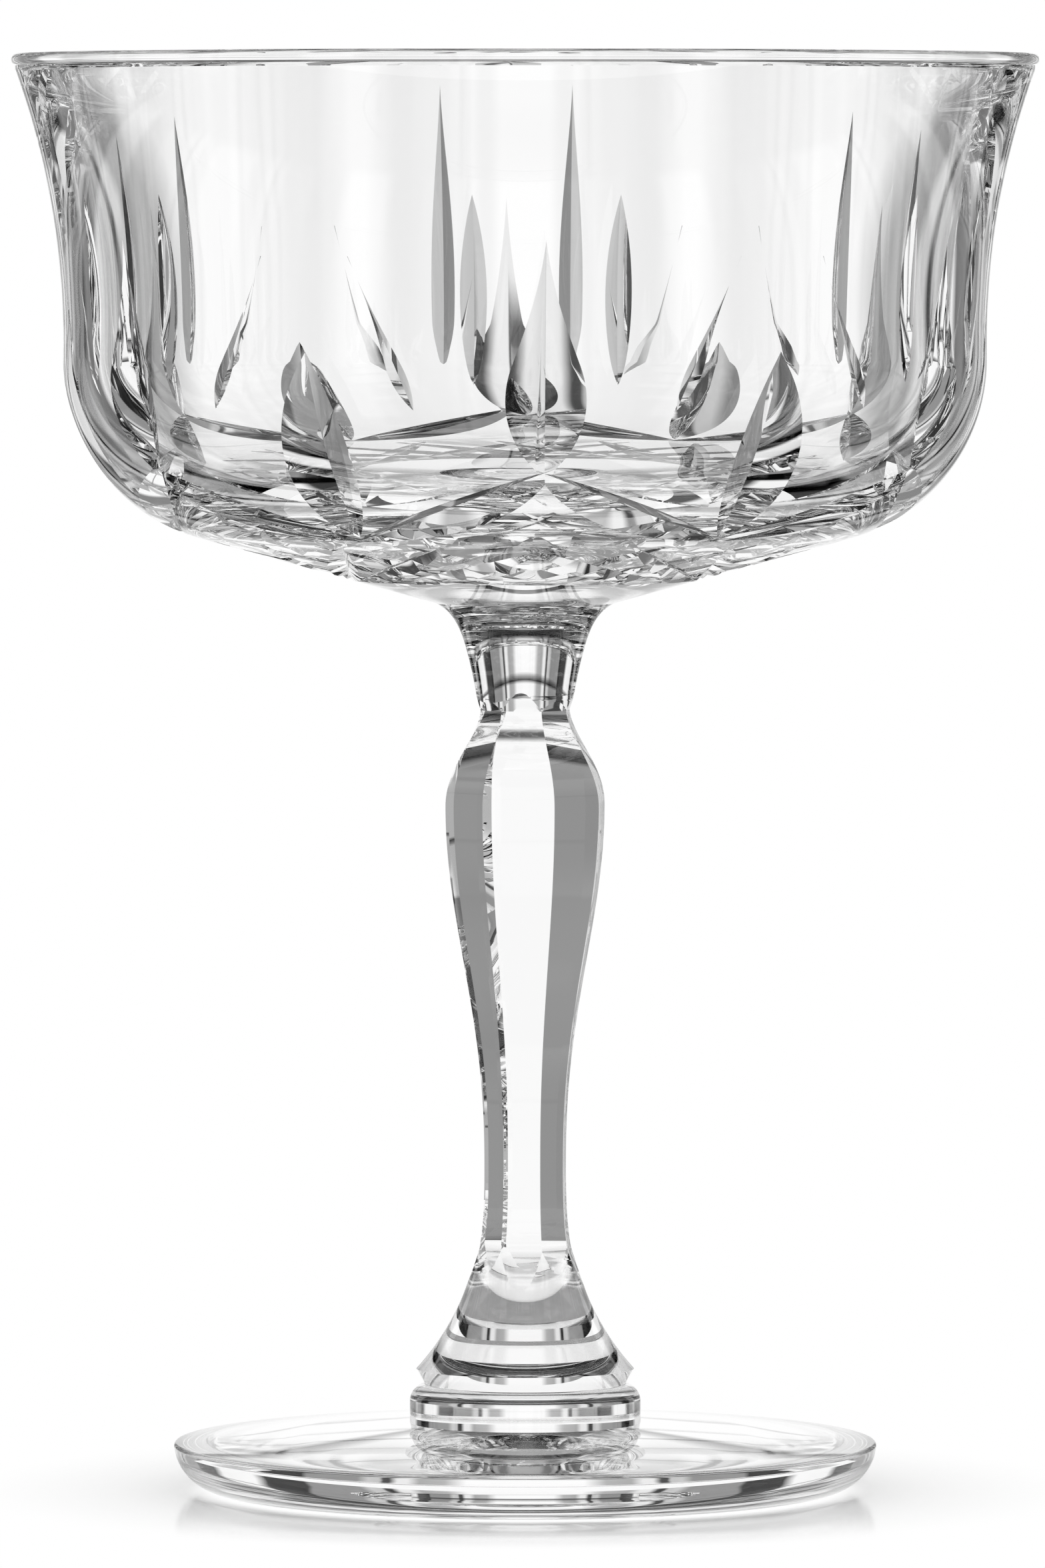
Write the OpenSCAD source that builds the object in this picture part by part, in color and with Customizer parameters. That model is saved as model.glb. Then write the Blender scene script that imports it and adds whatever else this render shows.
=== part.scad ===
// Footed coupe glass in clear crystal, with cut leaves and diamonds on its bowl and a faceted stem.
// Three pieces of glass are fused end to end: the foot, the stem and the bowl.
// The origin is at the middle of the ring that the foot rests on, with +Z up. Millimetres.

/* [Bowl] */
// Diameter of the upright wall below the flare
belly_d = 85.4; // [83:0.2:87]
// How far the rim flares out past the wall
flare_w = 4.8; // [4:0.1:7]
// Height of the bowl, from its weld on the stem to the rim
bowl_h = 50.8; // [50:0.2:58]
// Height of the flared band under the rim
flare_h = 26; // [23:0.5:27]
// Radius of the turn from the wall to the underside
heel_r = 17; // [15:0.5:18]
// Slope of the underside, in degrees from level
underside_slope = 15.5; // [14:0.5:17]
// Thickness of the fire-polished bead at the lip
lip_bead = 1.2; // [1.1:0.1:2]
// Glass thickness just under the lip
lip_wall = 1.1; // [0.8:0.1:1.1]
// Glass thickness at the upright wall
wall = 3.4; // [3.2:0.1:4]
// Radius of the inner turn from the wall to the floor
inner_heel_r = 13; // [11:0.5:14]
// Glass thickness over the stem, where the floor is lowest
floor_t = 8; // [7:0.5:10]
// Slope of the inner floor, in degrees from level
floor_slope = 4; // [2:0.5:6]

/* [Cut pattern] */
// How many times the pattern repeats round the bowl
repeats = 6; // [5:1:7]
// Turn of the whole pattern from the front, in degrees
pattern_turn = 2.5; // [0:0.5:30]
// Included angle of the tall leaf's groove, in degrees
tall_leaf_v = 134; // [110:1:140]
// Included angle of the broad heel leaf's groove, in degrees
heel_leaf_v = 126; // [110:1:132]
// How far the heel leaf's path bows out from its chord
heel_leaf_bow = 1.3; // [1:0.1:1.8]
// Included angle of the upright slim leaf's groove, in degrees
slim_leaf_v = 122; // [90:1:130]
// How far the upright slim leaf's path bows into the glass
slim_leaf_bow = 1.1; // [0.8:0.05:1.3]
// Included angle of the slanted leaf's groove, in degrees
slant_leaf_v = 136; // [110:1:142]
// Included angle of the zigzag's grooves, in degrees
zigzag_v = 104; // [80:1:112]
// Included angle of the diamonds' grooves, in degrees
diamond_v = 126; // [100:1:134]
// How far the diamonds' grooves are sunk below the face at their ends
diamond_sink = 0.25; // [0.1:0.05:0.5]

/* [Stem] */
// Length of the stem, from the foot's boss to the bowl
stem_h = 72.4; // [64:0.2:90]
// Width across the stem's top, where it meets the bowl
neck_d = 16.4; // [14:0.2:20]
// Width across the waist under the neck
waist_d = 8.8; // [6.5:0.1:10]
// Width across the knop
knop_d = 15.8; // [12:0.1:18]
// Width across the thinnest part of the shank
shank_d = 8.1; // [6:0.1:9.5]
// Width across the stem's base
base_d = 20.2; // [17:0.1:21]
// Height of the round lip at the stem's base
base_lip_h = 1.4; // [1:0.1:2]
// Turn of the stem's broad facets from the front, in degrees
facet_turn = -5; // [-20:1:20]

/* [Foot] */
// Diameter of the foot
foot_d = 65.2; // [60:0.2:76]
// Height of the foot's upper edge, which is also the radius that it curves under with
foot_edge_h = 4.4; // [3.8:0.1:6]
// Rise of the foot's upper face from its edge to the boss
foot_rise = 1.8; // [1:0.1:4]
// Width of the ring that the foot rests on
rest_w = 3; // [2:0.1:5]
// Depth of the hollow under the foot
hollow_h = 1.4; // [0.8:0.1:2]
// Diameter of the raised boss under the stem
boss_d = 21.4; // [21.2:0.2:26]
// Height of the boss over the foot's upper face
boss_h = 3.6; // [3:0.1:5]
// Rounding of the boss's upper edge
boss_round = 1.6; // [0.8:0.1:2]

/* [Hidden] */
$fn = 128;

// Places up the whole glass
foot_top = foot_edge_h + foot_rise + boss_h;
stem_top = foot_top + stem_h;

// Shared helpers: a point part of the way from a to b, and an easing curve from 0 to 1
function between(a, b, t) = a + (b - a) * t;
function ease(t, skew) = (1 - cos(180 * pow(t, skew))) / 2;
function unit(v) = v / norm(v);
function arc_radius(rise, half_span) = (pow(rise, 2) + pow(half_span, 2)) / (2 * rise);

// Bowl: sizes that follow, for its outer face and its inner face
inner_flare_share = 0.92;
belly_r = belly_d / 2;
rim_r = belly_r + flare_w;
seat_r = neck_d / 2;
bead_r = lip_bead / 2;
overrun = 1;
lip_z = bowl_h - bead_r;
outer_lip_r = rim_r - bead_r + lip_wall / 2;
inner_lip_r = rim_r - bead_r - lip_wall / 2;
outer_cone_r = belly_r - heel_r + heel_r * sin(underside_slope);
outer_cone_z = (outer_cone_r - seat_r) * tan(underside_slope);
outer_heel_z = outer_cone_z + heel_r * cos(underside_slope);
inner_belly_r = belly_r - wall;
inner_flare_h = inner_flare_share * flare_h;
inner_cone_r = inner_belly_r - inner_heel_r + inner_heel_r * sin(floor_slope);
inner_cone_z = floor_t + inner_cone_r * tan(floor_slope);
inner_heel_z = inner_cone_z + inner_heel_r * cos(floor_slope);

// One filled vessel in half section: an arc for the flare, a straight wall, an arc for the heel
// and a cone below it. It runs past its lip by over.
module half_vessel(lip_r, wall_r, flare, turn_r, turn_z, cone_r, cone_z, low_r, low_z, over) {
    flare_r = arc_radius(lip_r - wall_r, flare);
    difference() {
        translate([0, turn_z]) square([lip_r + overrun, lip_z + over - turn_z]);
        translate([wall_r + flare_r, lip_z - flare]) circle(flare_r);
        translate([wall_r, turn_z - overrun]) square([lip_r, lip_z - flare - turn_z + overrun]);
    }
    translate([wall_r - turn_r, turn_z]) circle(turn_r);
    polygon([
        [0, low_z],
        [low_r, low_z],
        [cone_r, cone_z],
        [wall_r - turn_r, turn_z + overrun],
        [0, turn_z + overrun]
    ]);
}
module half_bowl() {
    difference() {
        half_vessel(
            outer_lip_r, belly_r, flare_h, heel_r, outer_heel_z,
            outer_cone_r, outer_cone_z, seat_r, 0, 0
        );
        half_vessel(
            inner_lip_r, inner_belly_r, inner_flare_h, inner_heel_r, inner_heel_z,
            inner_cone_r, inner_cone_z, 0, floor_t, overrun
        );
    }
    translate([rim_r - bead_r, lip_z]) circle(bead_r);
}

// Bowl: where its outer face lies at a height over the weld, and how far that looks down
outer_flare_r = arc_radius(outer_lip_r - belly_r, flare_h);
outer_flare_z = lip_z - flare_h;
function outer_r(z) =
    z > outer_flare_z ? belly_r + outer_flare_r - sqrt(pow(outer_flare_r, 2) - pow(z - outer_flare_z, 2))
    : z > outer_heel_z ? belly_r
    : z > outer_cone_z ? belly_r - heel_r + sqrt(pow(heel_r, 2) - pow(outer_heel_z - z, 2))
    : seat_r + z / tan(underside_slope);
function outer_look(z) =
    z > outer_flare_z ? -asin((z - outer_flare_z) / outer_flare_r)
    : z > outer_heel_z ? 0
    : z > outer_cone_z ? -asin((outer_heel_z - z) / heel_r)
    : underside_slope - 90;
function face_normal(turn, z) = [
    cos(outer_look(z)) * cos(turn),
    cos(outer_look(z)) * sin(turn),
    sin(outer_look(z))
];
function on_face(turn, z, sink) =
    [outer_r(z) * cos(turn), outer_r(z) * sin(turn), z] - sink * face_normal(turn, z);

// A cutter with a V section that runs from one point to another. Its path bows out of the glass
// by bow at the middle, or into the glass where bow is negative. A cutter is as tall as its first
// size over its path, and runs past both points by its second.
broad_cutter = [3.5, 2];
fine_cutter = [1.2, 2.6];
module groove(from, to, look, v_angle, bow, cutter) {
    height = cutter[0];
    span = norm(to - from);
    half_run = span / 2 + cutter[1];
    along = unit(to - from);
    out = unit(look - (look * along) * along);
    side = cross(along, out);
    middle = (from + to) / 2;
    half_w = height * tan(v_angle / 2);
    multmatrix([
        [out.x, side.x, along.x, middle.x],
        [out.y, side.y, along.y, middle.y],
        [out.z, side.z, along.z, middle.z],
        [0, 0, 0, 1]
    ])
    if (bow == 0) {
        translate([0, 0, -half_run])
            linear_extrude(2 * half_run)
                polygon([[0, 0], [height, half_w], [height, -half_w]]);
    } else {
        path_r = arc_radius(abs(bow), span / 2);
        sweep = 2 * asin(half_run / path_r);
        way = sign(bow);
        translate([bow - way * path_r, 0, 0])
            rotate([90, 0, 0])
                rotate([0, 0, (way > 0 ? 0 : 180) - sweep / 2])
                    rotate_extrude(angle = sweep)
                        polygon([
                            [path_r, 0],
                            [path_r + way * height, half_w],
                            [path_r + way * height, -half_w]
                        ]);
    }
}

// A groove between two places on the bowl, each given by its turn and its height
module leaf(low, high, v_angle, bow, sink, cutter) {
    groove(
        on_face(low[0], low[1], sink),
        on_face(high[0], high[1], sink),
        face_normal((low[0] + high[0]) / 2, (low[1] + high[1]) / 2),
        v_angle,
        bow,
        cutter
    );
}

// Places of the cuts: each pair has the share of one repeat's turn and the share of the bowl's height
tall_leaf_shares = [[0, 0.245], [0, 0.665]];
heel_leaf_shares = [[0.5, 0.135], [0.5, 0.468]];
slim_leaf_shares = [[0.145, 0.41], [0.145, 0.745]];
slant_leaf_shares = [[0.27, 0.365], [0.385, 0.6]];
zigzag_shares = [[-0.02, 0.26], [0.52, 0.127]];
diamond_shares = [[0, 0.105], [0.75, 0.045]];
diamonds_a_repeat = 3;

// Where two passes cross, the second goes this much deeper
second_pass = 0.06;

// The cuts in the order they are made: places, hands, how many in a repeat, V angle, bow, sink and cutter
cuts = [
    [tall_leaf_shares, 1, 1, tall_leaf_v, 0, 0, broad_cutter],
    [heel_leaf_shares, 1, 1, heel_leaf_v, heel_leaf_bow, 0, broad_cutter],
    [slim_leaf_shares, 1, 1, slim_leaf_v, -slim_leaf_bow, 0, broad_cutter],
    [slim_leaf_shares, -1, 1, slim_leaf_v, -slim_leaf_bow, 0, broad_cutter],
    [slant_leaf_shares, 1, 1, slant_leaf_v, 0, 0, broad_cutter],
    [slant_leaf_shares, -1, 1, slant_leaf_v, 0, 0, broad_cutter],
    [zigzag_shares, 1, 1, zigzag_v, 0, 0, broad_cutter],
    [zigzag_shares, -1, 1, zigzag_v, 0, second_pass, broad_cutter],
    [diamond_shares, 1, diamonds_a_repeat, diamond_v, 0, diamond_sink, fine_cutter],
    [diamond_shares, -1, diamonds_a_repeat, diamond_v, 0, diamond_sink + second_pass, fine_cutter]
];

// Turn of the first repeat, and the share of a repeat at which few cuts cross the start of the round
first_turn = pattern_turn - 90;
quiet_share = 0.035;

// One cut, all the way round the bowl
module ring_of_grooves(cut) {
    pitch = 360 / repeats;
    count = repeats * cut[2];
    low = [cut[1] * cut[0][0][0] * pitch, cut[0][0][1] * bowl_h];
    high = [cut[1] * cut[0][1][0] * pitch, cut[0][1][1] * bowl_h];
    for (i = [0 : count - 1])
        rotate([0, 0, first_turn + i * 360 / count])
            leaf(low, high, cut[3], cut[4], cut[5], cut[6]);
}

// The bowl after its first so many cuts
module bowl_after(made) {
    if (made == 0) {
        rotate([0, 0, first_turn + quiet_share * 360 / repeats])
            rotate_extrude() half_bowl();
    } else {
        difference() {
            bowl_after(made - 1);
            ring_of_grooves(cuts[made - 1]);
        }
    }
}

module bowl() {
    color([0.9, 0.92, 0.93, 0.45])
    translate([0, 0, stem_top])
        bowl_after(len(cuts));
}

// Stem: heights of its stations as shares of its length, and how its outline runs between them
shank_z_share = 0.28;
knop_z_share = 0.742;
waist_z_share = 0.865;
shank_z = shank_z_share * stem_h;
knop_z = knop_z_share * stem_h;
waist_z = waist_z_share * stem_h;
base_power = 2.8;
shank_skew = 1.15;
waist_skew = 0.85;
neck_power = 1.4;
curl_power = 9;
neck_curl_share = 0.18;
function stem_d(z) =
    z < shank_z ? between(shank_d, base_d, pow((shank_z - z) / (shank_z - base_lip_h), base_power))
    : z < knop_z ? between(shank_d, knop_d, ease((z - shank_z) / (knop_z - shank_z), shank_skew))
    : z < waist_z ? between(waist_d, knop_d, ease((waist_z - z) / (waist_z - knop_z), waist_skew))
    : neck((z - waist_z) / (stem_h - waist_z));
function neck(t) =
    between(waist_d, (1 - neck_curl_share) * neck_d, pow(t, neck_power))
    + neck_curl_share * neck_d * pow(t, curl_power);
base_swing_z_share = 0.175;
base_swing_z = base_swing_z_share * stem_h;
base_swing_slope = 0.15;
stem_steps = 46;
stem_zs = [for (i = [0 : stem_steps]) between(base_lip_h, stem_h, i / stem_steps)];

// Stem: the round form, which shows at the neck and the base. Its stations lie midway between the
// facets' own, so that no edge of one falls on an edge of the other.
round_zs = concat(
    [base_lip_h],
    [for (i = [0 : stem_steps - 1]) between(base_lip_h, stem_h, (i + 0.5) / stem_steps)],
    [stem_h]
);
base_under_share = 0.92;
round_clearance = 0.5;
function round_r(z) =
    stem_d(z) / 2 + (z > base_swing_z && z < waist_z ? round_clearance : 0);
module stem_round() {
    rotate_extrude()
        polygon(concat(
            [[0, 0], [base_under_share * base_d / 2, 0]],
            [for (z = round_zs) [round_r(z), z]],
            [[0, stem_h]]
        ));
}

// Stem: one pair of opposite facets, as an outline that runs right through the stem.
// Towards the neck and the base it swings out past the round form, so that the facets end in arches.
broad_facet_share = 0.9;
narrow_facet_share = 0.935;
neck_swing_share = 0.2;
neck_swing_power = 0.7;
function facet_r(z, share) =
    share * stem_d(z) / 2
    + base_swing_slope * max(0, base_swing_z - z)
    + neck_swing_share * neck_d / 2 * pow(max(0, (z - waist_z) / (stem_h - waist_z)), neck_swing_power);
module facet_pair(share, turn) {
    up = [for (z = concat([0], stem_zs)) [facet_r(z, share), z]];
    down = [for (i = [len(up) - 1 : -1 : 0]) [-up[i][0], up[i][1]]];
    rotate([90, 0, facet_turn + turn])
        linear_extrude(2 * base_d, center = true)
            polygon(concat(up, down));
}

module stem() {
    color([0.86, 0.88, 0.89, 0.5])
    translate([0, 0, foot_top])
        intersection() {
            facet_pair(broad_facet_share, 0);
            facet_pair(broad_facet_share, 90);
            facet_pair(narrow_facet_share, 45);
            facet_pair(narrow_facet_share, 135);
            stem_round();
        }
}

// Foot: a round plate that curves under at its edge, with a boss above and a shallow hollow below
module half_foot() {
    foot_r = foot_d / 2;
    boss_r = boss_d / 2;
    edge_r = foot_r - foot_edge_h;
    upper_z = foot_edge_h + foot_rise;
    difference() {
        union() {
            polygon([[0, 0], [edge_r, 0], [foot_r, foot_edge_h], [boss_r, upper_z], [0, upper_z]]);
            intersection() {
                translate([edge_r, foot_edge_h]) circle(foot_edge_h);
                square([foot_r, foot_edge_h]);
            }
            translate([0, foot_edge_h]) square([boss_r - boss_round, foot_rise + boss_h]);
            translate([0, foot_edge_h]) square([boss_r, foot_rise + boss_h - boss_round]);
            translate([boss_r - boss_round, foot_top - boss_round]) circle(boss_round);
        }
        polygon([[0, -overrun], [edge_r - rest_w, -overrun], [edge_r - rest_w, 0], [0, hollow_h]]);
    }
}

module foot() {
    color([0.88, 0.9, 0.91, 0.5])
    rotate_extrude() half_foot();
}

foot();
stem();
bowl();
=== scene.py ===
"""Cut crystal coupe glass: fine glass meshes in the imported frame, and the studio that shows them.

The glass is three fused pieces: foot, stem and bowl. Each is made here finer than the frame's own
mesh, with the same form and size, and stands for its CAD node. Metres, +Z up, the front at -Y.
"""
import math

import bpy
from mathutils import Matrix, Vector
from mathutils.kdtree import KDTree


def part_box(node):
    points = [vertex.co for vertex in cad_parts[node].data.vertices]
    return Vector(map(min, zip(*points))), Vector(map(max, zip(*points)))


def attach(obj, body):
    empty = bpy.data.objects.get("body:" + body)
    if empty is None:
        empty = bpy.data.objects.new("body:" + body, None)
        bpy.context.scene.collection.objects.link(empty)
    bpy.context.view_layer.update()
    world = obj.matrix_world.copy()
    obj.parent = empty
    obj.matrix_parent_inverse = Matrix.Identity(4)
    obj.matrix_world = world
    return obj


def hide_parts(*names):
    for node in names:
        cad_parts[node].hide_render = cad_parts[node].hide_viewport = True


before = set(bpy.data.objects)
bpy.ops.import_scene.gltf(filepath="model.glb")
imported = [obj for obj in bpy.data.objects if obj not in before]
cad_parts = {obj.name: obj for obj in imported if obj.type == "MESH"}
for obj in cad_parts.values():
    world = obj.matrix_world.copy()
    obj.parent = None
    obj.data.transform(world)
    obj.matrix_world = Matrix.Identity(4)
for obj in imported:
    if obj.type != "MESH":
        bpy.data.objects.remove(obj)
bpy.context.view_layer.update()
foot_low, foot_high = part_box("foot")
stem_low, stem_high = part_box("stem")
bowl_low, bowl_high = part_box("bowl")

MM = 0.001

# Foot
FOOT_R = (foot_high.x - foot_low.x) / 2
FOOT_TOP = foot_high.z
FOOT_EDGE_H = 4.4 * MM
FOOT_RISE = 1.8 * MM
REST_W = 3 * MM
HOLLOW_H = 1.4 * MM
BOSS_R = 10.7 * MM
BOSS_ROUND = 1.6 * MM
EDGE_SOFTENING = 0.35 * MM

# Where the arc under the foot's edge stops, in radians, just short of the widest place
UNDER_EDGE_END = -0.1

# Stem, with heights from its base
STEM_H = stem_high.z - stem_low.z
NECK_R = 8.2 * MM
WAIST_R = 4.4 * MM
KNOP_R = 7.9 * MM
SHANK_R = 4.05 * MM
BASE_R = 10.1 * MM
BASE_LIP_H = 1.4 * MM
BASE_UNDER_SHARE = 0.92
SHANK_Z = 0.28 * STEM_H
KNOP_Z = 0.742 * STEM_H
WAIST_Z = 0.865 * STEM_H
BASE_POWER = 2.8
SHANK_SKEW = 1.15
WAIST_SKEW = 0.85
NECK_POWER = 1.4
CURL_POWER = 9
NECK_CURL_SHARE = 0.18

# Facets of the stem, which lie at a share of the round form's radius and swing out at both ends
FACET_TURN = math.radians(-5)
BROAD_FACET_SHARE = 0.9
NARROW_FACET_SHARE = 0.935
BASE_SWING_SLOPE = 0.15
BASE_SWING_Z = 0.175 * STEM_H
NECK_SWING_SHARE = 0.2
NECK_SWING_POWER = 0.7

# Bowl, with heights from its weld on the stem
RIM_R = (bowl_high.x - bowl_low.x) / 2
BOWL_H = bowl_high.z - bowl_low.z
SEAT_R = NECK_R
BELLY_R = 42.7 * MM
FLARE_H = 26 * MM
HEEL_R = 17 * MM
UNDERSIDE_SLOPE = math.radians(15.5)
BEAD_R = 0.6 * MM
LIP_WALL = 1.1 * MM
WALL = 3.4 * MM
INNER_HEEL_R = 13 * MM
INNER_FLARE_SHARE = 0.92
FLOOR_T = 8 * MM
FLOOR_SLOPE = math.radians(4)
BEAD_CENTRE = (RIM_R - BEAD_R, BOWL_H - BEAD_R)
OUTER_LIP_R = BEAD_CENTRE[0] + LIP_WALL / 2
INNER_LIP_R = BEAD_CENTRE[0] - LIP_WALL / 2

# Cut pattern. A cut runs between two places, each a share of one repeat and of the bowl's height.
REPEATS = 6
PATTERN_TURN = math.radians(-90 + 2.5)
TALL_LEAF_SHARES = [(0, 0.245), (0, 0.665)]
HEEL_LEAF_SHARES = [(0.5, 0.135), (0.5, 0.468)]
SLIM_LEAF_SHARES = [(0.145, 0.41), (0.145, 0.745)]
SLANT_LEAF_SHARES = [(0.27, 0.365), (0.385, 0.6)]
ZIGZAG_SHARES = [(-0.02, 0.26), (0.52, 0.127)]
DIAMOND_SHARES = [(0, 0.105), (0.75, 0.045)]
DIAMONDS_A_REPEAT = 3

# The angle between the two faces of each kind of groove, how far its path bows out of the glass, or
# into it where that is negative, how deep it sinks, and how much deeper the second of two hands goes
TALL_LEAF_V = math.radians(134)
HEEL_LEAF_V = math.radians(126)
SLIM_LEAF_V = math.radians(122)
SLANT_LEAF_V = math.radians(136)
ZIGZAG_V = math.radians(104)
DIAMOND_V = math.radians(126)
HEEL_LEAF_BOW = 1.3 * MM
SLIM_LEAF_BOW = -1.1 * MM
DIAMOND_SINK = 0.25 * MM
SECOND_PASS = 0.06 * MM

# A cutter's height, and how far it runs over both ends of its cut
BROAD_CUTTER = (3.5 * MM, 2 * MM)
FINE_CUTTER = (1.2 * MM, 2.6 * MM)

# How finely the meshes are made
ROUND_STEPS = 320
STEM_STEPS = 220
GROOVE_STEPS = 40
CONE_STEPS = 10
ARC_STEPS = 56
BEAD_STEPS = 30
PLATE_STEPS = 8
UNDER_EDGE_STEPS = 24
SOFT_EDGE_STEPS = 12
BOSS_STEPS = 20
CREASE_ANGLE = math.radians(15)

# How far a face may lie off the round form, and look away from it, and still be taken as part of it
ROUND_OFF = 0.01 * MM
ROUND_ANGLE = math.radians(2)
NEAREST_STEPS = 6

# How near a face lies to a weld's height, and how level it is, where it belongs to the weld
WELD_NEAR = 0.02 * MM
WELD_LEVEL = 0.99

CRYSTAL_IOR = 1.52

# A small white table with a glow painted into its material; no lamp lights it from below. Each stop is
# a distance from the middle with the share of that painted glow there. The painted glow is bright under
# the foot's plate, which lightens the foot seen through the glass, and dimmer under the boss; it drops
# where the real soft shadow round the foot shows, and fades to the white of the background further out,
# so that it shows no edge.
TABLE_R = 74 * MM
TABLE_STEPS = 96
TABLE_GAP = 0.05 * MM
TABLE_SHADE = 0.95
TABLE_ROUGHNESS = 0.12
TABLE_GLOW_STOPS = [
    (0, 0.2), (11 * MM, 0.2), (15 * MM, 1), (29 * MM, 1), (32.5 * MM, 0.05), (54 * MM, 1),
]

# What the glass refracts and mirrors, as in bright-field product light: white straight behind it,
# with grey and black cards to the sides, above and below. Clear glass shows its edges and cuts only
# where it bends the view on to something darker. The camera and the table's paint get plain white.
# Each stop is an angle in degrees with the shade there. Round the glass the angles are counted from
# the middle of the nearest of four white windows, and in height from the horizon.
ROUND_STOPS = [
    (0, 1), (6.5, 1),
    (9, 0.46), (12, 0.4),
    (13.4, 0.85), (14.7, 0.85),
    (15.7, 0.03), (16.5, 0.03),
    (17, 0.55), (18.5, 0.6),
    (20, 0.27), (28, 0.27),
    (29, 0), (37, 0),
    (40, 1), (45, 1),
]
HEIGHT_STOPS = [
    (-90, 0.05), (-43, 0.05),
    (-40, 1), (10, 1),
    (10.4, 0.04), (11.1, 0.04),
    (11.5, 1), (27, 1),
    (28, 0.3), (40, 0.3),
    (43, 1),
    (46, 0.02), (90, 0.02),
]

# Light is caught inside cut glass, and leaves it only after many reflections
LIGHT_BOUNCES = 32

# Camera, with the height of what it shows at the glass
CAMERA_DISTANCE = 1.2
CAMERA_HEIGHT = 121.4 * MM
AIM = Vector((-0.25 * MM, 0, 65.45 * MM))
FRAME_H = 145.2 * MM
SENSOR_MM = 36
CLIP_START = 0.05
CLIP_END = 20


# Outlines


def arc_radius(rise, half_span):
    """Radius of the arc that rises by rise over half_span."""
    return (rise**2 + half_span**2) / (2 * rise)


def arc(centre, radius, start, end, steps):
    """Points of an arc in the outline's plane, from one angle to another."""
    turns = [start + (end - start) * i / steps for i in range(steps + 1)]
    return [(centre[0] + radius * math.cos(t), centre[1] + radius * math.sin(t)) for t in turns]


def line(start, end, steps):
    """Evenly spaced points from start to end."""
    shares = [i / steps for i in range(steps + 1)]
    return [tuple(a + (b - a) * s for a, b in zip(start, end)) for s in shares]


def vessel_side(lip_r, wall_r, flare, turn_r, slope, low):
    """One face of the bowl from low to lip: a cone, the heel's arc, the wall and the flare's arc."""
    flare_r = arc_radius(lip_r - wall_r, flare)
    cone_r = wall_r - turn_r + turn_r * math.sin(slope)
    cone_z = low[1] + (cone_r - low[0]) * math.tan(slope)
    heel_z = cone_z + turn_r * math.cos(slope)
    heel = arc((wall_r - turn_r, heel_z), turn_r, slope - math.pi / 2, 0, ARC_STEPS)
    flare_end = math.pi - math.asin(flare / flare_r)
    flare_centre = (wall_r + flare_r, BEAD_CENTRE[1] - flare)
    flared = arc(flare_centre, flare_r, math.pi, flare_end, ARC_STEPS)
    return line(low, (cone_r, cone_z), CONE_STEPS)[:-1] + heel + flared


def bead_meets(points):
    """The points that lie outside the lip's bead, and the angle at which they reach it."""
    outside = [p for p in points if math.dist(p, BEAD_CENTRE) > BEAD_R]
    last = outside[-1]
    return outside, math.atan2(last[1] - BEAD_CENTRE[1], last[0] - BEAD_CENTRE[0])


def bowl_outline():
    """The bowl's half section, from the axis below round to the axis inside."""
    outer, outer_turn = bead_meets(
        vessel_side(OUTER_LIP_R, BELLY_R, FLARE_H, HEEL_R, UNDERSIDE_SLOPE, (SEAT_R, 0))
    )
    inner_flare = INNER_FLARE_SHARE * FLARE_H
    inner, inner_turn = bead_meets(
        vessel_side(
            INNER_LIP_R, BELLY_R - WALL, inner_flare, INNER_HEEL_R, FLOOR_SLOPE, (0, FLOOR_T)
        )
    )
    bead = arc(BEAD_CENTRE, BEAD_R, outer_turn, inner_turn % math.tau, BEAD_STEPS)
    return [(0, 0)] + outer + bead[1:-1] + inner[::-1]


def foot_outline():
    """The foot's half section, from the axis below round to the axis above."""
    edge_r = FOOT_R - FOOT_EDGE_H
    slope = math.atan2(FOOT_RISE, FOOT_R - BOSS_R)
    soft = EDGE_SOFTENING
    soft_centre = (FOOT_R - soft, FOOT_EDGE_H - soft * (1 - math.sin(slope)) / math.cos(slope))
    boss_centre = (BOSS_R - BOSS_ROUND, FOOT_TOP - BOSS_ROUND)
    hollow = line((0, HOLLOW_H), (edge_r - REST_W, 0), PLATE_STEPS)
    under = arc(
        (edge_r, FOOT_EDGE_H), FOOT_EDGE_H, -math.pi / 2, UNDER_EDGE_END, UNDER_EDGE_STEPS
    )
    shoulder = arc(soft_centre, soft, 0, math.pi / 2 - slope, SOFT_EDGE_STEPS)
    plate = line(shoulder[-1], (BOSS_R, FOOT_EDGE_H + FOOT_RISE), PLATE_STEPS)
    boss = arc(boss_centre, BOSS_ROUND, 0, math.pi / 2, BOSS_STEPS)
    return hollow + under + shoulder + plate[1:] + boss + [(0, FOOT_TOP)]


def between(a, b, share):
    """The value that lies a share of the way from a to b."""
    return a + (b - a) * share


def ease(share, skew):
    """A share that starts and ends level, with its middle moved by skew."""
    return (1 - math.cos(math.pi * share**skew)) / 2


def stem_r(z):
    """Radius of the stem's round form at a height."""
    if z < SHANK_Z:
        return between(SHANK_R, BASE_R, ((SHANK_Z - z) / (SHANK_Z - BASE_LIP_H)) ** BASE_POWER)
    if z < KNOP_Z:
        return between(SHANK_R, KNOP_R, ease((z - SHANK_Z) / (KNOP_Z - SHANK_Z), SHANK_SKEW))
    if z < WAIST_Z:
        return between(WAIST_R, KNOP_R, ease((WAIST_Z - z) / (WAIST_Z - KNOP_Z), WAIST_SKEW))
    share = (z - WAIST_Z) / (STEM_H - WAIST_Z)
    neck = between(WAIST_R, (1 - NECK_CURL_SHARE) * NECK_R, share**NECK_POWER)
    return neck + NECK_CURL_SHARE * NECK_R * share**CURL_POWER


def stem_outline():
    """The stem's half section before the facets, from the axis below to the axis above."""
    points = [(0, 0), (BASE_UNDER_SHARE * BASE_R, 0)]
    for i in range(STEM_STEPS + 1):
        z = between(BASE_LIP_H, STEM_H, i / STEM_STEPS)
        points.append((stem_r(z), z))
    return points + [(0, STEM_H)]


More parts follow.
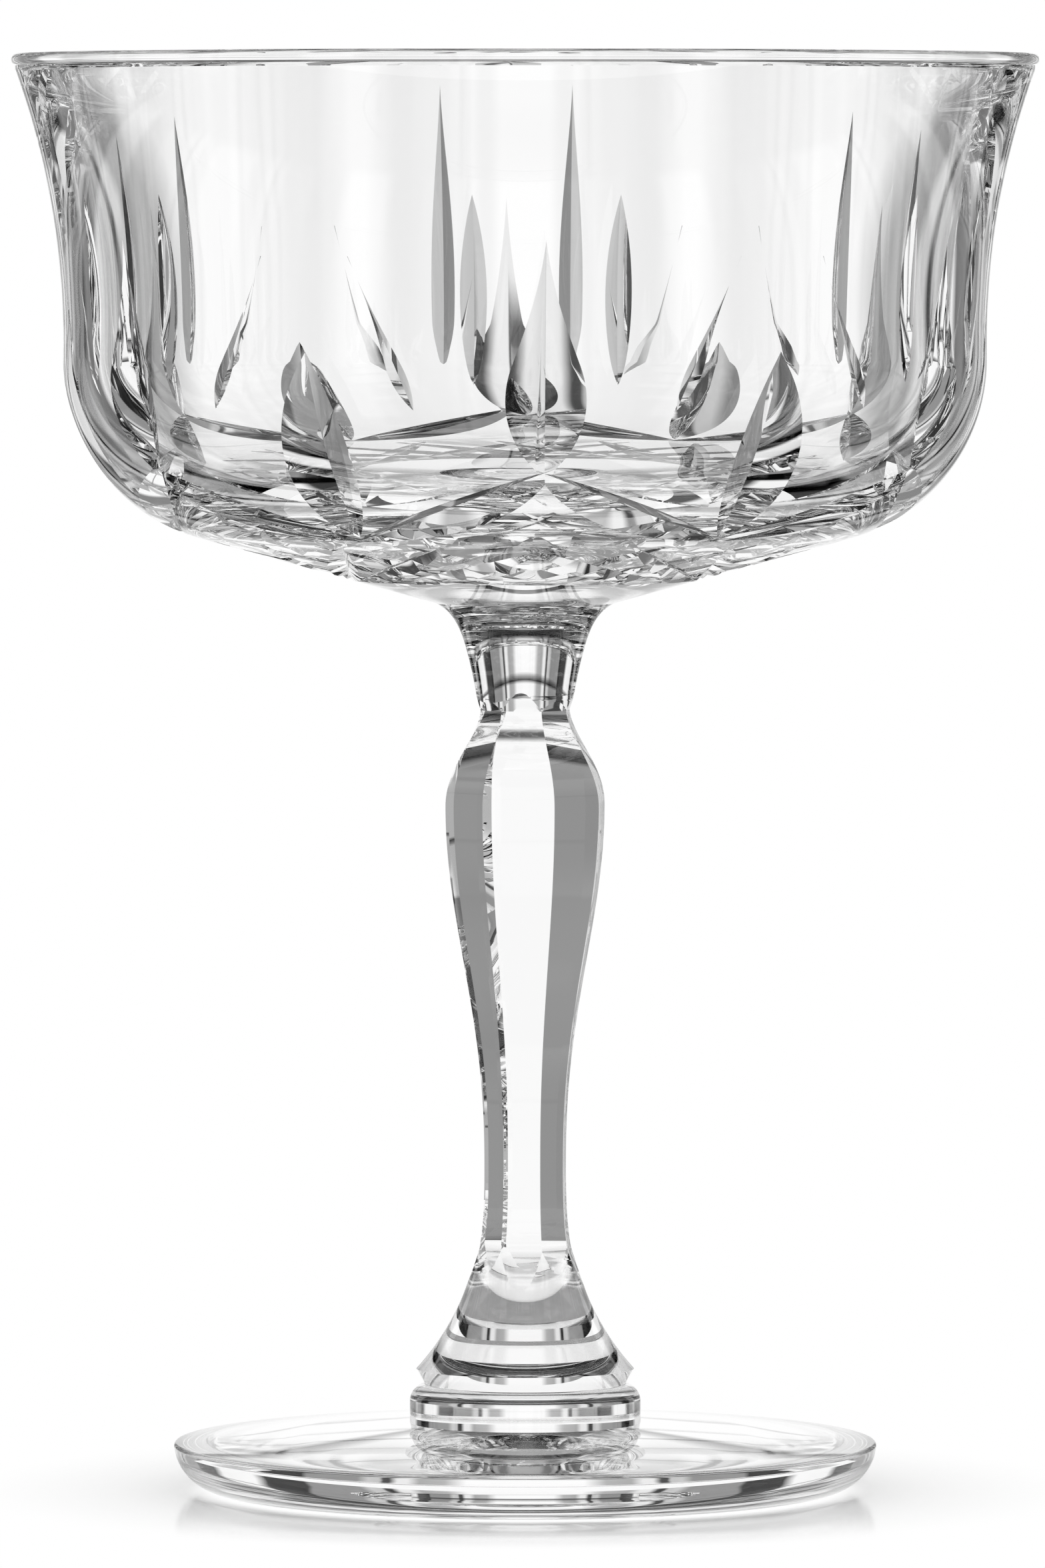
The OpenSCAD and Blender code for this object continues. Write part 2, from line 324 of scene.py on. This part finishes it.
def facet_r(z, share):
    """Distance of a facet from the axis at a height. It swings out past the round form at both ends."""
    base_swing = BASE_SWING_SLOPE * max(0, BASE_SWING_Z - z)
    neck = max(0, (z - WAIST_Z) / (STEM_H - WAIST_Z))
    neck_swing = NECK_SWING_SHARE * NECK_R * neck**NECK_SWING_POWER
    return share * stem_r(max(z, BASE_LIP_H)) + base_swing + neck_swing


def outer_face(z):
    """The bowl's outer radius at a height, and the angle by which its face looks up."""
    flare_r = arc_radius(OUTER_LIP_R - BELLY_R, FLARE_H)
    flare_z = BEAD_CENTRE[1] - FLARE_H
    cone_r = BELLY_R - HEEL_R + HEEL_R * math.sin(UNDERSIDE_SLOPE)
    cone_z = (cone_r - SEAT_R) * math.tan(UNDERSIDE_SLOPE)
    heel_z = cone_z + HEEL_R * math.cos(UNDERSIDE_SLOPE)
    if z > flare_z:
        r = BELLY_R + flare_r - math.sqrt(flare_r**2 - (z - flare_z) ** 2)
        return r, -math.asin((z - flare_z) / flare_r)
    if z > heel_z:
        return BELLY_R, 0
    if z > cone_z:
        r = BELLY_R - HEEL_R + math.sqrt(HEEL_R**2 - (heel_z - z) ** 2)
        return r, -math.asin((heel_z - z) / HEEL_R)
    return SEAT_R + z / math.tan(UNDERSIDE_SLOPE), UNDERSIDE_SLOPE - math.pi / 2


# Meshes


def new_object(name, points, faces, place=None):
    """A mesh object in the scene, with its points moved by place."""
    mesh = bpy.data.meshes.new(name)
    mesh.from_pydata(points, [], faces)
    if place:
        mesh.transform(place)
    mesh.update()
    piece = bpy.data.objects.new(name, mesh)
    bpy.context.scene.collection.objects.link(piece)
    return piece


def revolve(name, outline, base_z):
    """A closed solid turned about the axis. The outline starts and ends on the axis."""
    steps = ROUND_STEPS
    rows = outline[1:-1]
    points = [(0, 0, base_z + outline[0][1])]
    for r, z in rows:
        for i in range(steps):
            turn = math.tau * i / steps
            points.append((r * math.cos(turn), r * math.sin(turn), base_z + z))
    points.append((0, 0, base_z + outline[-1][1]))
    faces = []
    for i in range(steps):
        after = (i + 1) % steps
        faces.append((0, 1 + after, 1 + i))
        for j in range(len(rows) - 1):
            low, high = 1 + j * steps, 1 + (j + 1) * steps
            faces.append((low + i, low + after, high + after, high + i))
        last = 1 + (len(rows) - 1) * steps
        faces.append((last + i, last + after, len(points) - 1))
    return new_object(name, points, faces)


def groove_path(start, end, out, bow, overrun):
    """Places on the keel of a V cutter, each with the way up from it. The path bows out of the glass
    by bow, or into the glass where bow is negative, and runs over both ends by overrun."""
    along = (end - start).normalized()
    middle = (start + end) / 2
    half_span = (end - start).length / 2
    half_run = half_span + overrun
    if not bow:
        return [(middle - along * half_run, out), (middle + along * half_run, out)]
    path_r = arc_radius(abs(bow), half_span)
    way = math.copysign(1, bow)
    sweep = 2 * math.asin(half_run / path_r)
    path = []
    for i in range(GROOVE_STEPS + 1):
        turn = (i / GROOVE_STEPS - 0.5) * sweep
        keel = middle + out * (bow - way * path_r * (1 - math.cos(turn)))
        keel += along * path_r * math.sin(turn)
        path.append((keel, out * math.cos(turn) + along * way * math.sin(turn)))
    return path


def groove(start, end, look, v_angle, bow, cutter):
    """Points and faces of a V cutter from start to end, on a face that looks along look."""
    height, overrun = cutter
    along = (end - start).normalized()
    out = (look - look.dot(along) * along).normalized()
    side = along.cross(out)
    half_w = height * math.tan(v_angle / 2)
    path = groove_path(start, end, out, bow, overrun)
    points = []
    for keel, up in path:
        points += [keel, keel + up * height + side * half_w, keel + up * height - side * half_w]
    last = len(points) - 3
    faces = [(0, 1, 2), (last + 2, last + 1, last)]
    for i in range(len(path) - 1):
        a, b = 3 * i, 3 * i + 3
        for j, k in ((0, 1), (1, 2), (2, 0)):
            faces.append((a + k, a + j, b + j, b + k))
    return points, faces


def face_normal(turn, z):
    """The way that the bowl's outer face looks, at a turn and a height."""
    look = outer_face(z)[1]
    return Vector(
        (math.cos(look) * math.cos(turn), math.cos(look) * math.sin(turn), math.sin(look))
    )


def on_face(turn, z, sink):
    """A place on the bowl's outer face, or sunk into it."""
    r = outer_face(z)[0]
    return Vector((r * math.cos(turn), r * math.sin(turn), z)) - sink * face_normal(turn, z)


def ring_of_grooves(name, shares, v_angle, hand=1, a_repeat=1, bow=0, sink=0, cutter=BROAD_CUTTER):
    """The cutters of one kind of cut, all the way round the bowl. The hand is 1, or -1 for the mirror
    image."""
    pitch = math.tau / REPEATS
    low, high = [(hand * turn * pitch, z * BOWL_H) for turn, z in shares]
    look = face_normal((low[0] + high[0]) / 2, (low[1] + high[1]) / 2)
    one, one_faces = groove(on_face(*low, sink), on_face(*high, sink), look, v_angle, bow, cutter)
    points, faces = [], []
    count = REPEATS * a_repeat
    for i in range(count):
        turn = Matrix.Rotation(PATTERN_TURN + math.tau * i / count, 3, "Z")
        faces += [tuple(len(points) + k for k in face) for face in one_faces]
        points += [turn @ p for p in one]
    return new_object(name, points, faces, Matrix.Translation((0, 0, bowl_low.z)))


def bowl_cuts():
    """The cutters of the whole pattern. Most cuts come in two hands. Where the hands cross, the second
    goes a little deeper, so that no two faces lie on one another."""
    cuts = [
        ring_of_grooves("tall_leaves", TALL_LEAF_SHARES, TALL_LEAF_V),
        ring_of_grooves("heel_leaves", HEEL_LEAF_SHARES, HEEL_LEAF_V, bow=HEEL_LEAF_BOW),
    ]
    for hand, side, deeper in ((1, "right", 0), (-1, "left", SECOND_PASS)):
        cuts += [
            ring_of_grooves(
                "slim_leaves_" + side, SLIM_LEAF_SHARES, SLIM_LEAF_V, hand, bow=SLIM_LEAF_BOW
            ),
            ring_of_grooves("slant_leaves_" + side, SLANT_LEAF_SHARES, SLANT_LEAF_V, hand),
            ring_of_grooves("zigzag_" + side, ZIGZAG_SHARES, ZIGZAG_V, hand, sink=deeper),
            ring_of_grooves(
                "diamonds_" + side, DIAMOND_SHARES, DIAMOND_V, hand, DIAMONDS_A_REPEAT,
                sink=DIAMOND_SINK + deeper, cutter=FINE_CUTTER,
            ),
        ]
    return cuts


def facet_pair(share, turn):
    """A slab with two opposite facets of the stem as its narrow sides. It runs over both ends."""
    overrun = BASE_LIP_H
    heights = [-overrun] + [STEM_H * (i / STEM_STEPS) for i in range(STEM_STEPS + 1)]
    heights.append(STEM_H + overrun)
    depth = 2 * BASE_R
    points, faces = [], []
    for z in heights:
        r = facet_r(min(max(z, 0), STEM_H), share)
        points += [(-r, -depth, z), (r, -depth, z), (r, depth, z), (-r, depth, z)]
    for i in range(len(heights) - 1):
        a, b = 4 * i, 4 * i + 4
        for j in range(4):
            k = (j + 1) % 4
            faces.append((a + j, a + k, b + k, b + j))
    top = len(points) - 4
    faces += [(3, 2, 1, 0), (top, top + 1, top + 2, top + 3)]
    place = Matrix.Translation((0, 0, stem_low.z)) @ Matrix.Rotation(FACET_TURN + turn, 4, "Z")
    return new_object("facet_tool", points, faces, place)


def combine(piece, tool, operation):
    """Works a tool into a piece by a boolean, and deletes the tool."""
    step = piece.modifiers.new(operation, "BOOLEAN")
    step.operation = operation
    step.solver = "MANIFOLD"
    step.object = tool
    graph = bpy.context.evaluated_depsgraph_get()
    made = bpy.data.meshes.new_from_object(piece.evaluated_get(graph))
    piece.modifiers.clear()
    piece.data = made
    bpy.data.objects.remove(tool)


def polish(piece, outline, base_z):
    """Gives what is left of a revolved face the true normals of the round form, so that it bends
    the light evenly right up to the cuts. The cuts keep their own normals."""
    pairs = list(zip(outline, outline[1:]))
    ways = [Vector((b[1] - a[1], a[0] - b[0])).normalized() for a, b in pairs]
    middles = KDTree(len(pairs))
    for i, (a, b) in enumerate(pairs):
        middles.insert(((a[0] + b[0]) / 2, (a[1] + b[1]) / 2, 0), i)
    middles.balance()

    def meeting(i, j):
        """The normal of step i where it meets step j."""
        if 0 <= j < len(ways) and ways[i].angle(ways[j]) < CREASE_ANGLE:
            return (ways[i] + ways[j]).normalized()
        return ways[i]

    ends = [(meeting(i, i - 1), meeting(i, i + 1)) for i in range(len(ways))]

    def section(at):
        """A place as its distance from the axis with its height, and the level way out to it."""
        out = Vector((at.x, at.y, 0))
        return Vector((out.length, at.z - base_z)), out.normalized()

    def along(i, place):
        """How far along step i a place lies, and how far off it."""
        a, b = Vector(pairs[i][0]), Vector(pairs[i][1])
        share = min(max((place - a).dot(b - a) / (b - a).length_squared, 0), 1)
        return share, (place - a.lerp(b, share)).length

    mesh = piece.data
    normals = []
    for face in mesh.polygons:
        place, out = section(face.center)
        near = [i for _, i, _ in middles.find_n((place.x, place.y, 0), NEAREST_STEPS)]
        step = min(near, key=lambda i: along(i, place)[1])
        way = out * ways[step].x + Vector((0, 0, ways[step].y))
        lies_on = along(step, place)[1] < ROUND_OFF
        is_round = lies_on and face.normal.angle(way, math.pi) < ROUND_ANGLE
        for k in face.vertices:
            if not is_round:
                normals.append((0, 0, 0))
                continue
            place, out = section(mesh.vertices[k].co)
            way = ends[step][0].lerp(ends[step][1], along(step, place)[0]).normalized()
            normals.append(out * way.x + Vector((0, 0, way.y)))
    mesh.normals_split_custom_set(normals)


def finish_piece(piece, node, crystal, weld, weld_heights):
    """Gives a piece its glass, makes the faces that are welded to another piece vanish, and fixes
    it to the frame."""
    mesh = piece.data
    mesh.materials.clear()
    mesh.materials.append(crystal)
    mesh.materials.append(weld)
    for face in mesh.polygons:
        near = min(abs(face.center.z - z) for z in weld_heights) < WELD_NEAR
        face.material_index = 1 if near and abs(face.normal.z) > WELD_LEVEL else 0
    mesh.shade_smooth()
    mesh.set_sharp_from_angle(angle=CREASE_ANGLE)
    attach(piece, "root")
    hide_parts(node)


# Materials


def new_material(name):
    """A material, and its Principled shader."""
    material = bpy.data.materials.new(name)
    material.use_nodes = True
    return material, material.node_tree.nodes["Principled BSDF"]


def crystal_material():
    """Clear polished glass."""
    material, shader = new_material("crystal")
    shader.inputs["Base Color"].default_value = (1, 1, 1, 1)
    shader.inputs["Roughness"].default_value = 0
    shader.inputs["IOR"].default_value = CRYSTAL_IOR
    shader.inputs["Transmission Weight"].default_value = 1
    return material


def weld_material():
    """Shows nothing: the glass goes on through a weld."""
    material, shader = new_material("weld")
    shader.inputs["Alpha"].default_value = 0
    return material


def shade_ramp(tree, name, value, stops, interpolation="LINEAR"):
    """A shade that follows a value. Each stop is a value with the shade there."""
    low, high = stops[0][0], stops[-1][0]
    part = tree.nodes.new("ShaderNodeMapRange")
    part.inputs["From Min"].default_value = low
    part.inputs["From Max"].default_value = high
    tree.links.new(value, part.inputs["Value"])
    ramp = tree.nodes.new("ShaderNodeValToRGB")
    ramp.name = name
    ramp.color_ramp.interpolation = interpolation
    marks = ramp.color_ramp.elements
    while len(marks) < len(stops):
        marks.new(0.5)
    for mark, (at, shade) in zip(marks, stops):
        mark.position = (at - low) / (high - low)
        mark.color = (shade, shade, shade, 1)
    tree.links.new(part.outputs["Result"], ramp.inputs["Fac"])
    return ramp.outputs["Color"]


def table_material():
    """White paint, mixed with a painted glow by the distance from the middle."""
    material, paint = new_material("floor_paint_and_glow")
    paint.inputs["Base Color"].default_value = (TABLE_SHADE, TABLE_SHADE, TABLE_SHADE, 1)
    paint.inputs["Roughness"].default_value = TABLE_ROUGHNESS
    tree = material.node_tree
    # Painted glow: emission mixed into the table's paint, bright under the foot's plate and dim where
    # the real shadow shows
    light = tree.nodes.new("ShaderNodeEmission")
    place = tree.nodes.new("ShaderNodeTexCoord")
    radius = tree.nodes.new("ShaderNodeVectorMath")
    radius.operation = "LENGTH"
    both = tree.nodes.new("ShaderNodeMixShader")
    tree.links.new(place.outputs["Object"], radius.inputs[0])
    glow = shade_ramp(tree, "glow", radius.outputs["Value"], TABLE_GLOW_STOPS, "EASE")
    tree.links.new(glow, both.inputs[0])
    tree.links.new(paint.outputs["BSDF"], both.inputs[1])
    tree.links.new(light.outputs["Emission"], both.inputs[2])
    tree.links.new(both.outputs["Shader"], tree.nodes["Material Output"].inputs["Surface"])
    return material


# Studio


def add_table():
    """A round table just under the foot, which is stage and no part of the glass."""
    turns = [math.tau * i / TABLE_STEPS for i in range(TABLE_STEPS)]
    edge = [(TABLE_R * math.cos(turn), TABLE_R * math.sin(turn), 0) for turn in turns]
    place = Matrix.Translation((0, 0, -TABLE_GAP))
    floor = new_object("floor", edge, [tuple(range(TABLE_STEPS))], place)
    floor.data.materials.append(table_material())


def surroundings():
    """A world that is plain white, but for what the glass refracts and mirrors."""
    world = bpy.data.worlds.new("studio")
    world.use_nodes = True
    nodes, link = world.node_tree.nodes, world.node_tree.links.new

    def math_node(operation, first, second=None):
        """The value of a Math node on sockets or numbers."""
        node = nodes.new("ShaderNodeMath")
        node.operation = operation
        for socket, value in zip(node.inputs, (first, second)):
            if isinstance(value, (int, float)):
                socket.default_value = value
            elif value is not None:
                link(value, socket)
        return node.outputs["Value"]

    place = nodes.new("ShaderNodeTexCoord")
    way = nodes.new("ShaderNodeSeparateXYZ")
    link(place.outputs["Generated"], way.inputs["Vector"])
    degree = math.degrees(1)
    turn = math_node("MULTIPLY", math_node("ARCTAN2", way.outputs["X"], way.outputs["Y"]), degree)
    height = math_node("MULTIPLY", math_node("ARCSINE", way.outputs["Z"]), degree)
    from_window = math_node("PINGPONG", turn, ROUND_STOPS[-1][0])
    seen = math_node(
        "MULTIPLY",
        shade_ramp(world.node_tree, "round_shades", from_window, ROUND_STOPS),
        shade_ramp(world.node_tree, "height_shades", height, HEIGHT_STOPS),
    )
    path = nodes.new("ShaderNodeLightPath")
    by_glass = math_node("MAXIMUM", path.outputs["Is Transmission Ray"], path.outputs["Is Glossy Ray"])
    choice = nodes.new("ShaderNodeMix")
    choice.inputs["A"].default_value = 1
    link(by_glass, choice.inputs["Factor"])
    link(seen, choice.inputs["B"])
    link(choice.outputs["Result"], nodes["Background"].inputs["Strength"])
    nodes["Background"].inputs["Color"].default_value = (1, 1, 1, 1)
    bpy.context.scene.world = world


def add_camera():
    """The camera of the photograph. The picture is upright, so the sensor's length is its height."""
    pitch = math.asin((CAMERA_HEIGHT - AIM.z) / CAMERA_DISTANCE)
    camera_data = bpy.data.cameras.new("camera")
    camera_data.sensor_width = SENSOR_MM
    camera_data.lens = SENSOR_MM * CAMERA_DISTANCE / FRAME_H
    camera_data.clip_start = CLIP_START
    camera_data.clip_end = CLIP_END
    camera = bpy.data.objects.new("camera", camera_data)
    bpy.context.scene.collection.objects.link(camera)
    camera.location = AIM + CAMERA_DISTANCE * Vector((0, -math.cos(pitch), math.sin(pitch)))
    camera.rotation_euler = (math.pi / 2 - pitch, 0, 0)
    bpy.context.scene.camera = camera


# The glass

crystal = crystal_material()
weld = weld_material()

bowl = revolve("bowl_glass", bowl_outline(), bowl_low.z)
for cut in bowl_cuts():
    combine(bowl, cut, "DIFFERENCE")

stem = revolve("stem_glass", stem_outline(), stem_low.z)
for share, first in ((BROAD_FACET_SHARE, 0), (NARROW_FACET_SHARE, 45)):
    for degrees in (first, first + 90):
        combine(stem, facet_pair(share, math.radians(degrees)), "INTERSECT")

foot = revolve("foot_glass", foot_outline(), foot_low.z)

finish_piece(bowl, "bowl", crystal, weld, [bowl_low.z])
polish(bowl, bowl_outline(), bowl_low.z)
finish_piece(stem, "stem", crystal, weld, [stem_low.z, stem_high.z])
finish_piece(foot, "foot", crystal, weld, [foot_high.z])

# The picture

add_table()
surroundings()
add_camera()
for limit in ("max_bounces", "glossy_bounces", "transmission_bounces", "transparent_max_bounces"):
    setattr(bpy.context.scene.cycles, limit, LIGHT_BOUNCES)
bpy.context.scene.view_settings.view_transform = "Standard"
